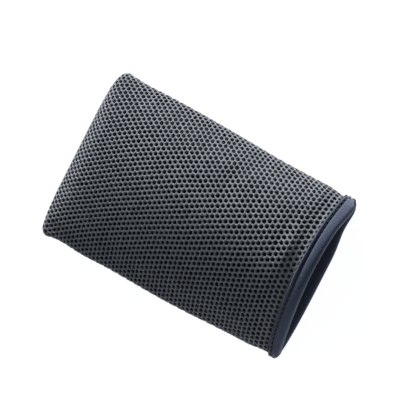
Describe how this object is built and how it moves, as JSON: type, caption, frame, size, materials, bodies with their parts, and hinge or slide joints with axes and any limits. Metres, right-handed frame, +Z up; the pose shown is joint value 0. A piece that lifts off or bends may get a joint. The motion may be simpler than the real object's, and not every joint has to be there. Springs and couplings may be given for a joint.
{
  "type": "car wash mitt",
  "caption": "Fingerless rectangular wash mitt of holed grey air mesh, padded and lined, with a bound open cuff that a hand slides into.",
  "frame": {"origin": "centre of the mitt's footprint, on the surface that its palm lies on", "axes": "+X from the fingertip edge to the cuff, +Y across the mitt, +Z up out of the back of the hand"},
  "size_m": [0.2354, 0.1516, 0.048],
  "materials": {
    "air_mesh": "matt grey spacer knit with round holes",
    "foam": "soft open-cell sheet foam, hidden between the layers",
    "lining": "near-black warp knit",
    "binding": "navy woven tape with a slight sheen",
    "thread": "navy spun thread"
  },
  "bodies": {
    "root": {"back_air_mesh": "air_mesh", "palm_air_mesh": "air_mesh", "back_foam_pad": "foam", "palm_foam_pad": "foam", "back_lining": "lining", "palm_lining": "lining", "side_seam_allowance": "air_mesh", "side_seam_thread": "thread", "cuff_binding": "binding", "binding_outer_thread": "thread", "binding_inner_thread": "thread"}
  },
  "joints": []
}
